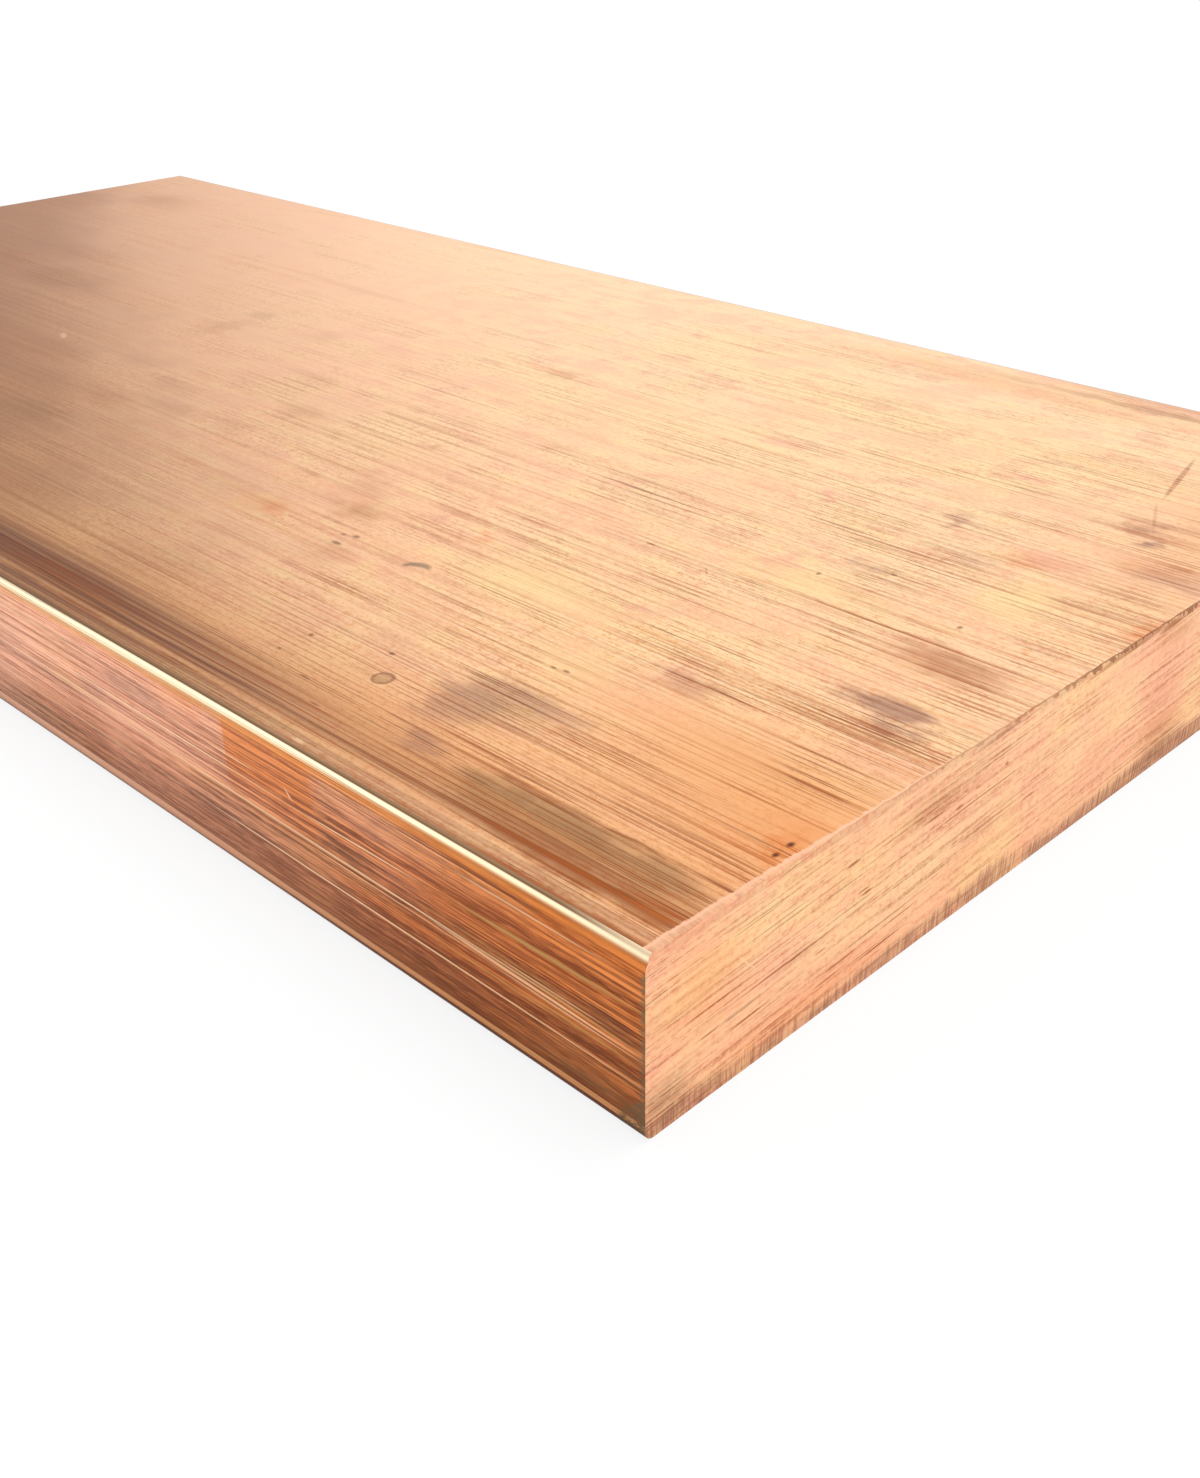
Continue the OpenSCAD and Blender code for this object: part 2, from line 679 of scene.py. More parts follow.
@dataclass(frozen=True, kw_only=True)
class BroadFaceFinish(Finish):
    """The two broad faces: satin from the die, with drawing lines, clouds of tarnish, stains, painted sheen
    and painted shade.
    """

    stray: tuple[float, float] = (2.4, 1.0)
    relief_depth: float = 0.012
    marks: Marks = field(
        default_factory=lambda: {
            # Painted sheen: partly yellow tone and partly a painted highlight.
            Blemish.PAINTED_SHEEN: (
                Mark(45, 12, 34, 14, 0.25),
                Mark(62, 32, 30, 10, 0.15),
                Mark(91.5, 0.5, 5.5, 7, 0.65),
                Mark(78, -8, 10, 5, 0.5),
                Mark(62, -23, 16, 6, 0.6),
                Mark(74, -30, 9, 4, 0.4),
            ),
            Blemish.WARMTH: (
                Mark(95, -34, 24, 12, 1.0),
                Mark(99, 24, 13, 30, 0.5),
                Mark(76, -44, 22, 6, 0.5),
                Mark(62, 45, 32, 5, 0.5),
                Mark(-82, 36, 9, 7, 0.6),
                Mark(33, -27, 4, 3, 0.6),
            ),
            Blemish.GLOW: (
                Mark(99.5, -38, 7, 8, 0.4),
                Mark(100, -37.5, 3.4, 6, 0.8),
                Mark(101.4, 1.5, 2.0, 4.5, 0.7),
                Mark(88, 7, 4, 3.5, 0.5),
                Mark(96, 12, 4, 2, 0.5),
                Mark(35, -27, 3, 1.5, 0.5),
                Mark(53, -19, 1.7, 2.4, 0.45),
            ),
            Blemish.BLOOM: (
                Mark(46.8, -18.7, 2.2, 1.4, 0.8),
                Mark(56.8, -18.6, 1.6, 0.9, 0.4),
                Mark(71.5, -20.3, 1.3, 1.0, 0.6),
                Mark(68.4, 7.3, 1.6, 2.0, 1.0),
                Mark(79, 23, 2.6, 1.6, 1.0),
                Mark(52.8, -2.4, 2.4, 1.8, 0.5),
                Mark(53.3, 1, 2.0, 1.4, 0.7),
                Mark(74, -5.5, 1.7, 3.4, 0.7),
                Mark(67.3, -11.5, 2.6, 1.4, 0.3),
                Mark(56.5, 15.8, 3.0, 1.6, 0.7),
                Mark(62.5, 5.8, 4.5, 1.1, 0.7),
                Mark(89.5, 8.5, 4.5, 3, 0.7),
                Mark(6, 10, 5, 3, 0.5),
                Mark(98, -26, 6, 3, 0.6),
                Mark(83, -26.6, 4.5, 3, 0.25),
                Mark(84, 50.2, 34, 2.6, 0.8),
            ),
            Blemish.SMOKE: (
                Mark(-87, 37, 8, 6, 0.5),
                Mark(-96, 26, 12, 7, 0.7),
                Mark(-64, 10, 14, 5, 0.5),
                Mark(-25, -16, 12, 5, 0.7),
                Mark(-18, 23.7, 22, 1.1, 0.3),
                Mark(9, -37, 14, 6, 0.45),
                Mark(-17, 2.5, 3, 7, 0.4),
                Mark(-5, 8, 5, 3, 0.3),
                Mark(-2, -14, 7, 3, 0.3),
                Mark(5, -18, 8, 2.4, 0.4),
                Mark(-4, -20.5, 7, 3, 0.6),
                Mark(6, -24, 7, 2, 0.3),
                Mark(16, -9.5, 7, 2.6, 0.5),
                Mark(14, -17.5, 5, 3, 0.3),
                Mark(7.5, -2, 6, 1.4, 0.4),
                Mark(23, -1.6, 3.4, 1.3, 0.35),
                Mark(26, 16.5, 2.4, 2.8, 0.6),
                Mark(34, -15.6, 4, 1.3, 0.4),
                Mark(37, -18.5, 5, 2.2, 0.5),
                Mark(41, -22.4, 5, 3.0, 0.8),
                Mark(46, -30, 5, 3.0, 0.4),
                Mark(33, -7.4, 2.2, 1.2, 0.8),
                Mark(84, 49.8, 36, 2.6, 0.55),
                Mark(93.6, -12.2, 8, 3.4, 0.85),
                Mark(83, -26.6, 4, 2.4, 0.5),
            ),
            Blemish.OLIVE: (
                Mark(84.5, -45.2, 6.5, 2.9, 1.0),
                Mark(90, -44.9, 9, 2.8, 1.0),
                Mark(96, -44.7, 6, 2.5, 0.8),
                Mark(75, -37.4, 6, 4.4, 0.45),
                Mark(-5, -28, 9, 4, 0.4),
                Mark(-53, 1, 13, 5, 0.4),
                Mark(-18, 8.5, 3.4, 2, 0.3),
            ),
            Blemish.SMUDGE: (
                Mark(94.8, -19.9, 4.4, 2.0, 1.0),
                Mark(92.6, -20.3, 4.0, 1.6, 0.5),
                Mark(96.3, -22.1, 3.6, 1.4, 0.9),
                Mark(73.1, -38.8, 3.8, 5.6, 0.55),
                Mark(77, -35.6, 6.0, 1.4, 0.55),
                Mark(75.4, -44, 2.6, 2.0, 0.7),
                Mark(82.5, -26.4, 3.2, 2.0, 0.2),
                Mark(80, -2.2, 3.6, 1.0, 0.5),
                Mark(85, 4.6, 2.6, 2.2, 0.25),
                Mark(79.2, 10.5, 1.2, 3.0, 0.5),
                Mark(91.5, 19.5, 2.4, 2.4, 0.6),
                Mark(93.2, 16.8, 2.0, 1.3, 0.9),
                Mark(98, 11.5, 5, 2.4, 0.5),
            ),
            Blemish.STREAK: (
                Mark(91, -47.6, 14, 1.3, 0.9),
                Mark(90, -46.3, 12, 0.8, 0.5),
                Mark(93.5, -43.15, 6, 0.3, 0.7),
                Mark(94, -49.6, 9, 0.3, 0.6),
                Mark(36, -47, 18, 2.0, 0.8),
                Mark(80, 47.3, 36, 1.2, 0.6),
                Mark(94, -11.8, 8, 3.0, 0.35),
                Mark(86, -9.9, 15, 0.4, 0.4),
                Mark(80, -37, 16, 0.6, 0.2),
            ),
            Blemish.LINE: (
                Mark(86, -10.0, 16, 0.14, 0.6),
                Mark(86, -12.2, 16, 0.18, 0.6),
                Mark(90, -13.4, 12, 0.12, 0.5),
                Mark(74, -16.5, 9, 0.12, 0.5),
                Mark(62, -9.8, 12, 0.12, 0.4),
                Mark(78, -42, 5, 0.2, 0.6),
                Mark(70.9, -11.5, 0.9, 0.12, 0.6, -45),
                Mark(88, 32, 7, 0.35, 0.8, -76),
                Mark(91, 22, 5, 0.22, 0.35, -64),
                Mark(80.6, -26, 0.22, 5, 0.15),
            ),
            Blemish.RUST: (
                Mark(92, -46.9, 13, 2.2, 0.35),
                Mark(34, -46.4, 18, 1.6, 0.3),
                Mark(98.6, -47.0, 4.5, 1.8, 0.8),
            ),
            Blemish.PALE: (
                Mark(-28, -12, 1.6, 0.5, 1.0, -28),
                Mark(69.5, -49.5, 0.8, 0.25, 0.8),
            ),
            Blemish.PIT: (
                Mark(100.1, -37.1, 0.3, 0.5),
                Mark(100.15, -38.5, 0.35, 0.45),
                Mark(45.2, -26, 0.7, 0.4, 0.7),
                Mark(44, -26.4, 0.5, 0.3, 0.6),
                Mark(45, -27.9, 0.8, 0.4, 0.7),
                Mark(74.1, -31.1, 0.5, 0.2, 0.7),
                Mark(75.2, -30.9, 0.6, 0.22, 0.7),
                Mark(64.2, -37.5, 0.35, 0.28, 0.9),
                Mark(57.5, -39.6, 0.32, 0.25, 0.8),
                Mark(57.6, -42.5, 0.28, 0.2, 0.7),
                Mark(62.6, -43.9, 0.7, 0.16, 0.6),
                Mark(66.3, -45.8, 0.9, 0.16, 0.6),
                Mark(82, -2.1, 0.5, 0.3, 0.7),
                Mark(77.6, -5.9, 0.3, 0.4, 0.7),
                Mark(91, -6.5, 0.3, 0.45, 0.7),
                Mark(64, -10.5, 0.6, 0.2, 0.7),
            ),
        }
    )

    def build(self) -> bpy.types.Material:
        """Makes the material.

        Returns:
            The broad faces' material.
        """
        face = MetalShader("Drawn broad face", (0, 1), self.stray)
        upper = face.z > self.thickness / 2
        clouds = face.pattern(0.03, 0.055, 3.0)
        tints = face.pattern(0.09, 0.15, 3.0, 0.55, shift=7.0)
        streaks = face.pattern(0.016, 0.9, 4.0, 0.75)
        hatch = face.pattern(0.012, 3.0, 2.0, 0.85, shift=3.0)
        dashes = face.pattern(0.05, 4.2, 2.0, 0.7)
        gaps = face.pattern(0.08, 0.5, shift=9.0)
        mottle = face.pattern(1.2, 3.2, 2.0, 0.95, shift=5.0)
        close = face.ramp(face.x, -30.0, 90.0, 0.3, 1.3) * face.ramp(face.y, 0.0, 36.0, 1.0, 0.6)
        lines = face.ramp(hatch, 0.5, 0.62) * face.ramp(gaps, 0.35, 0.6, 0.4, 1.0) * close

        # Pale to brown tones: tarnish, and painted shade towards the far front corner.
        colour = self._tarnish_and_shade(face, clouds, tints)
        colour = face.blend(face.ramp(mottle, 0.47, 0.7) * close * 0.55, colour, Copper.AMBER)
        colour = face.blend(face.ramp(mottle, 0.5, 0.3) * close * 0.55, colour, Copper.PALE)
        colour = face.blend(face.ramp(hatch, 0.46, 0.36) * close * 0.45, colour, Copper.PALE)
        amber = face.ramp(face.y, -35.0, -46.0) * face.ramp(face.y, -49.2, -48.0, 0.5, 1.0)
        colour = face.blend(amber * 0.65, colour, Copper.AMBER)
        # Bands along the front corner: tarnish, and painted shade near the corner.
        colour = face.blend(self._front_bands(face, streaks, hatch) * upper, colour, Copper.PLUM)
        colour, dirt = face.blemished(colour, self.marks, upper, lines)

        worn = face.highest(face.ramp(tints + 0.4 * clouds, 0.6, 0.85), face.ramp(face.y, -30.0, -46.0))
        worn = face.highest(worn, dirt * 0.6)
        colour = face.blend(face.ramp(streaks, 0.5, 0.7) * (0.15 + 0.25 * worn), colour, Copper.AMBER)
        colour = face.blend(lines * (0.2 + 0.35 * worn), colour, Copper.RUSSET)
        specks = face.ramp(dashes, 0.62, 0.7) * close * (0.12 + 0.35 * worn)
        colour = face.blend(specks, colour, Copper.UMBER)
        colour = face.blend(face.ramp(mottle, 0.5, 0.7) * worn * 0.22, colour, Copper.RUSSET)
        # The filed break: paler metal with a painted highlight.
        colour = face.blend(self._broken_edge(face) * upper, colour, Copper.BLUSH)
        colour = face.blend(self._droplet(face) * upper, colour, Copper.UMBER)
        colour = face.blend(self._gouge(face) * upper * 0.7, colour, Copper.VERDIGRIS)

        roughness = 0.3 + 0.08 * tints + 0.12 * dirt
        relief = 1.0 - 0.7 * lines - 0.3 * mottle
        return face.finish(colour, roughness, relief, self.relief_depth)

    @staticmethod
    def _tarnish_and_shade(face: MetalShader, clouds: Value, tints: Value) -> bpy.types.NodeSocket:
        """Gives the broad tones, in clouds: pale at the near back corner, brown at the far front one.

        Args:
            face: The face's shader.
            clouds: The largest clouds.
            tints: The smaller ones.

        Returns:
            The metal's colour, with its tarnish and painted shade.
        """
        blotches = face.pattern(0.2, 0.4, 2.0, 0.6, shift=15.0)
        near = face.ramp(face.x, -50.0, 50.0)
        # Painted shade and tarnish: the slant follows where the reflection turns from window to shade.
        slant = 0.577
        lean = slant * face.x + face.y + 24.0 * (clouds - 0.5)
        colour = face.blend(face.ramp(lean + 40.0 * (tints - 0.5), -12.0, 60.0), Copper.PEACH, Copper.CREAM)
        yellow = face.highest(face.ramp(clouds, 0.46, 0.66) * 0.5, face.ramp(blotches, 0.46, 0.34) * 0.4)
        colour = face.blend(yellow * near, colour, Copper.YELLOW)
        rosy = face.highest(face.ramp(tints, 0.48, 0.32), face.ramp(blotches, 0.52, 0.66))
        colour = face.blend(rosy * (0.1 + 0.32 * near), colour, Copper.ROSE)
        colour = face.blend(face.ramp(face.x, 76.0, 98.0) * 0.3, colour, Copper.ROSE)
        brown_tarnish_and_shade = face.ramp(lean + 12.0 * (tints - 0.5), -10.0, -38.0)
        return face.blend(brown_tarnish_and_shade, colour, Copper.TAN)

    def _front_bands(self, face: MetalShader, streaks: Value, hatch: Value) -> Value:
        """Gives the bands along the front corner: die marks and tarnish, and partly painted shade.

        Args:
            face: The face's shader.
            streaks: The long streaks, which ruffle the bands.
            hatch: The fine lines, which break them up.

        Returns:
            How brown the metal is, with the painted shade.
        """
        inward = face.y + self.width / 2 + 0.9 * (streaks - 0.5)
        stops = (
            (0.0, 0.75),
            (0.1, 0.75),
            (0.14, 0.42),
            (0.19, 0.48),
            (0.225, 0.62),
            (0.26, 0.1),
            (0.3, 0.15),
            (0.34, 0.5),
            (0.38, 0.85),
            (0.42, 0.95),
            (0.46, 0.62),
            (0.54, 0.7),
            (0.66, 0.58),
            (0.75, 0.36),
            (0.85, 0.18),
            (1.0, 0.0),
        )
        greys = [(place, (level,) * 3) for place, level in stops]
        breadth = 8.0
        reach = face.ramp(inward, 0.0, breadth, smooth=False)
        bands = face.value("ShaderNodeValToRGB", {"stops": greys}, {0: reach})
        bands = bands * face.ramp(hatch, 0.36, 0.6, 0.75, 1.25)
        return bands * face.ramp(face.x, 75.0, 25.0, 0.75, 1.35)

    def _broken_edge(self, face: MetalShader) -> Value:
        """Gives the bright strip where a file broke the edge over the sawn end, towards the front.

        It is paler metal, with a painted highlight where the break catches the light.

        Args:
            face: The face's shader.

        Returns:
            The strip's mask.
        """
        crumbs = face.pattern(0.7, 1.1, 3.0, 0.7, shift=4.0)
        end = self.length / 2
        start = face.ramp(face.y, -50.0, -26.0, end - 1.05, end - 0.5) + 0.5 * (crumbs - 0.5)
        strip = face.ramp(face.x, start, start + 0.16) * face.ramp(face.y, -14.0, -30.0)
        return strip * face.ramp(face.x, start + 0.2, start + 0.5, 0.95, 0.6)

    @staticmethod
    def _droplet(face: MetalShader) -> Value:
        """Gives the grey spot and dark outline of one dried droplet.

        Args:
            face: The face's shader.

        Returns:
            The droplet's mask.
        """
        full = face.patches([Mark(66.7, -40.3, 1.15, 1.0)], 1.0)
        return face.ramp(full, 0.0, 0.1) * face.ramp(full, 0.15, 0.45, 0.6, 0.3)

    @staticmethod
    def _gouge(face: MetalShader) -> Value:
        """Gives the small crescent gouge.

        Args:
            face: The face's shader.

        Returns:
            The gouge's mask.
        """
        outer = face.patches([Mark(53.6, -26.5, 1.5, 1.0, 1.0, 24)], 0.4)
        inner = face.patches([Mark(53.9, -27.1, 1.5, 0.9, 1.0, 24)], 0.4)
        return face.highest(outer - inner, 0.0)


@dataclass(frozen=True, kw_only=True)
class DrawnEdgeFinish(Finish):
    """The two long edges: glossier from the die, with heat colours, tarnish and painted light and shade."""

    stray: tuple[float, float] = (1.8, 0.35)
    relief_depth: float = 0.012
    marks: Marks = field(
        default_factory=lambda: {
            # Painted sheen: partly yellow tone and partly a painted highlight.
            Blemish.PAINTED_SHEEN: (Mark(80, 11.4, 10, 1.1, 0.35),),
            Blemish.WARMTH: (Mark(80, 11.4, 13, 2.0, 0.9),),
            Blemish.GLOW: (
                Mark(87, 11.1, 9, 1.0, 0.6),
                Mark(57, 11.8, 4.5, 1.4, 0.7),
                Mark(97, 10.8, 10, 1.8, 1.0),
                Mark(96, 5.6, 8, 1.2, 1.0),
                Mark(88, 7.4, 8, 1.2, 0.7),
            ),
            Blemish.BLOOM: (
                Mark(61.1, 11.5, 1.3, 2.2, 0.9),
                Mark(78, 11.0, 9, 1.6, 0.8),
                Mark(84, 11.5, 4, 1.0, 0.5),
                Mark(80, 8, 6, 1.6, 0.4),
                Mark(58, 7.5, 6, 1.5, 0.5),
            ),
            Blemish.RUST: (
                Mark(90, 8.8, 16, 1.7, 1.0),
                Mark(97, 11.6, 7, 0.8, 0.9),
                Mark(84, 4.9, 15, 1.2, 1.0),
                Mark(67, 9.4, 7, 1.0, 0.5),
                Mark(54, 5.2, 16, 1.8, 0.35),
            ),
            Blemish.SMUDGE: (
                Mark(51, 10, 5, 1.2, 0.8),
                Mark(45, 8, 4, 1.3, 0.6),
                Mark(31, 8, 4, 1.3, 0.5),
            ),
            Blemish.STREAK: (
                Mark(50, 2.4, 16, 0.8, 0.4),
                Mark(84, 2.2, 18, 0.9, 0.6),
                Mark(90, 4.4, 12, 0.3, 0.2),
            ),
            Blemish.SOOT: (
                Mark(75, 7.4, 5, 1.2, 0.65),
                Mark(98.6, 7.3, 4.4, 1.2, 0.6),
                Mark(78.5, 10.2, 2.6, 0.7, 0.35),
                Mark(73.5, 10.4, 1.4, 0.7, 0.25),
                Mark(70, 5.5, 14, 0.6, 0.5),
                Mark(62, 4.4, 12, 2.0, 0.55),
            ),
            Blemish.OLIVE: (
                Mark(36, 2.4, 9, 1.2, 0.8),
                Mark(97, 1.8, 6, 1.4, 0.8),
            ),
        }
    )
    scratches: Marks = field(
        default_factory=lambda: {
            Blemish.LINE: (
                Mark(92, 8.2, 9, 0.08, 0.9),
                Mark(90, 9.9, 8, 0.1, 0.7, -0.5),
                Mark(88, 5.9, 10, 0.07, 0.8, -1.0),
                Mark(70, 8.1, 7, 0.12, 0.5),
            ),
            Blemish.PATINA: (
                Mark(93.5, 9.0, 11, 0.2, 0.8, 0.9),
                Mark(94, 6.45, 9, 0.12, 0.8, -0.9),
                Mark(96.5, 5.35, 6, 0.14, 0.7, -0.8),
                Mark(90, 5.1, 9, 0.1, 0.6, -0.6),
                Mark(89, 7.0, 9, 0.08, 0.6, -0.6),
            ),
            Blemish.PALE: (
                Mark(52, 8.33, 22, 0.08, 0.9, 0.1),
                Mark(77, 8.55, 8, 0.07, 0.9, 1.2),
                Mark(68, 6.48, 34, 0.13, 0.7, -0.1),
                Mark(92, 6.15, 11, 0.14, 0.7, -1.2),
                Mark(80, 6.02, 12, 0.08, 0.5, -0.4),
                Mark(95, 5.8, 8, 0.1, 0.5, -0.8),
                Mark(80, 4.0, 30, 0.09, 0.95, -0.3),
                Mark(40, 4.1, 18, 0.1, 0.5, -0.3),
                Mark(63, 9.4, 4, 0.09, 0.6),
                Mark(92, 11.1, 9, 0.1, 0.5),
                Mark(94, 6.7, 7, 0.07, 0.5),
                Mark(69.6, 9.2, 0.7, 0.09, 0.8, -45),
                Mark(42, 7.0, 20, 0.3, 0.4, -0.3),
            ),
        }
    )

    def build(self) -> bpy.types.Material:
        """Makes the material.

        Returns:
            The drawn edges' material.
        """
        face = MetalShader("Drawn edge", (0, 2), self.stray)
        front = face.y < 0.0
        clouds = face.pattern(0.03, 0.12)
        tints = face.pattern(0.06, 0.4, shift=11.0)
        streaks = face.pattern(0.01, 1.6, 3.0, 0.85)
        hatch = face.pattern(0.012, 3.0, 2.0, 0.85, shift=4.0)
        gaps = face.pattern(0.06, 0.6, shift=9.0)
        mottle = face.pattern(0.25, 4.8, 2.0, 0.9, shift=5.0)
        lines = face.ramp(hatch, 0.5, 0.6) * face.ramp(gaps, 0.35, 0.6, 0.4, 1.0)

        # Redder and darker towards the near end; this darkness is partly tarnish and partly painted shade.
        toned = face.ramp(face.x + 40.0 * (clouds - 0.5), 35.0, 92.0) * front
        toned = face.highest(toned, face.ramp(clouds, 0.55, 0.75) * 0.6)
        colour = face.blend(toned, Copper.SALMON, Copper.RUSSET)
        colour = face.blend(face.ramp(tints, 0.5, 0.7) * 0.5, colour, Copper.AMBER)
        # Painted shade: browner towards the foot, where the side reflects the floor in the plate's shadow.
        low = face.ramp(face.z + 1.6 * (clouds - 0.5), 7.0, 1.4)
        colour = face.blend(low * 0.55, colour, Copper.BROWN)
        colour, dirt = face.blemished(colour, self.marks, front, lines)

        heated = self._heat_patch(face) * front
        colour = face.blend(heated, colour, Copper.ORANGE)

        crisp = 1.0 - 0.5 * face.highest(low, dirt)
        bright = face.blend(face.highest(toned, heated), Copper.BLUSH, Copper.COPPER)
        dark = face.ramp(streaks, 0.52, 0.58) * (0.45 + 0.25 * toned) * crisp
        colour = face.blend(dark, colour, Copper.UMBER)
        colour = face.blend(face.ramp(streaks, 0.46, 0.4) * 0.6 * crisp, colour, bright)
        colour = face.blend(lines * (0.5 + 0.35 * toned) * crisp, colour, Copper.UMBER)
        colour = face.blend(face.ramp(hatch, 0.44, 0.36) * (0.6 + 0.2 * toned) * crisp, colour, bright)
        colour = face.blend(face.ramp(mottle, 0.5, 0.64) * (0.2 + 0.2 * toned), colour, Copper.UMBER)
        colour = face.blend(face.ramp(mottle, 0.5, 0.36) * 0.34, colour, bright)
        colour, _ = face.blemished(colour, self.scratches, front, lines)
        # Burnished corners with painted highlights, a painted floor reflection and painted shade.
        colour = self._corners(face, colour, tints)
        colour = self._end_crust(face, colour)

        roughness = 0.22 + 0.1 * tints + 0.12 * dirt
        return face.finish(colour, roughness, 1.0 - lines, self.relief_depth)

    @staticmethod
    def _heat_patch(face: MetalShader) -> Value:
        """Gives the orange heat colour, which stops short at one side.

        Args:
            face: The face's shader.

        Returns:
            The patch's mask.
        """
        sides = face.ramp(face.x, 62.2, 62.6) * face.ramp(face.x, 73.4, 71.6)
        return sides * face.ramp(face.z, 5.2, 9.2) * 0.92

    def _corners(
        self, face: MetalShader, colour: bpy.types.NodeSocket, tints: Value
    ) -> bpy.types.NodeSocket:
        """Burnishes the rounded corners, which rub on whatever the bar lies against, and paints their light
        and shade.

        Args:
            face: The face's shader.
            colour: The edge's colour.
            tints: The tints, which vary the painted reflection along the lower corner.

        Returns:
            The colour with the corners' burnish and painted light and shade.
        """
        toward_near_end = face.ramp(face.x, 45.0, 90.0)
        # Painted highlight: a gold fringe below the upper corner's highlight, more copper towards the near
        # end.
        glow = face.blend(toward_near_end, Copper.GOLD, Copper.COPPER)
        highlight_fringe = face.ramp(face.z, self.thickness - 0.95, self.thickness - 0.5)
        colour = face.blend(highlight_fringe * 0.6, colour, glow)
        # Painted highlight on the upper corner, over its paler burnished metal.
        rim = face.z - 0.14 * toward_near_end
        upper = face.ramp(rim, self.thickness - 0.5, self.thickness - 0.26)
        colour = face.blend(upper * 0.95, colour, Copper.BURNISH_AND_HIGHLIGHT)
        # The strip inside the corner takes the broad face's olive-brown, with a painted dark reflection as
        # a thin line at its inner edge.
        back = abs(face.y) - self.width / 2 - 0.06 * toward_near_end
        end = self.length / 2
        band_and_dark_reflection = face.ramp(back, -0.53, -0.6) * face.ramp(face.x, end - 0.8, end - 7.6)
        colour = face.blend(band_and_dark_reflection * 0.85, colour, Copper.OLIVE)
        colour = face.blend(band_and_dark_reflection * face.ramp(back, -0.72, -0.66) * 0.4, colour, Copper.UMBER)
        above = face.ramp(face.z, 1.9, 1.5) * (0.25 + 0.3 * toward_near_end)
        colour = face.blend(above, colour, Copper.UMBER)
        # Painted shade below the lower corner's line, stronger towards the near end.
        under = face.ramp(face.z, 1.1, 0.9) * face.ramp(face.z, 0.1, 0.4, 0.4, 1.0)
        colour = face.blend(under * 0.75 * toward_near_end, colour, Copper.UMBER)
        # Painted reflection of the floor: a bright line along the lower corner.
        lower = face.ramp(face.z + 0.12 * toward_near_end, 1.42, 1.3)
        lower = lower * face.ramp(face.z, 0.5 + 0.25 * toward_near_end, 0.9)
        painted_floor_reflection = face.blend(toward_near_end, Copper.BLUSH, Copper.AMBER)
        return face.blend(lower * (0.95 + 0.6 * (tints - 0.5)), colour, painted_floor_reflection)

    def _end_crust(self, face: MetalShader, colour: bpy.types.NodeSocket) -> bpy.types.NodeSocket:
        """Greys the last half millimetre before the sawn end, and about two more at the foot.

        Args:
            face: The face's shader.
            colour: The edge's colour.

        Returns:
            The colour with its crust.
        """
        crumbs = face.pattern(1.8, 2.6, 3.0, 0.85)
        specks = face.pattern(3.0, 4.0, 2.0, 0.8, shift=6.0)
        end = self.length / 2
        start = end - 0.5 + 1.6 * (crumbs - 0.5) - face.ramp(face.z, 3.4, 0.9, 0.0, 1.8)
        crust = face.ramp(face.x, start, start + 0.5)
        crust = crust * face.ramp(face.z, self.thickness - 0.7, self.thickness - 1.0)
        solid = face.ramp(face.x, end - 0.6, end - 0.3)
        spotted = face.highest(face.ramp(specks, 0.4, 0.6, 0.15, 0.95), solid * 0.7)
        return face.blend(crust * spotted, colour, Copper.VERDIGRIS)


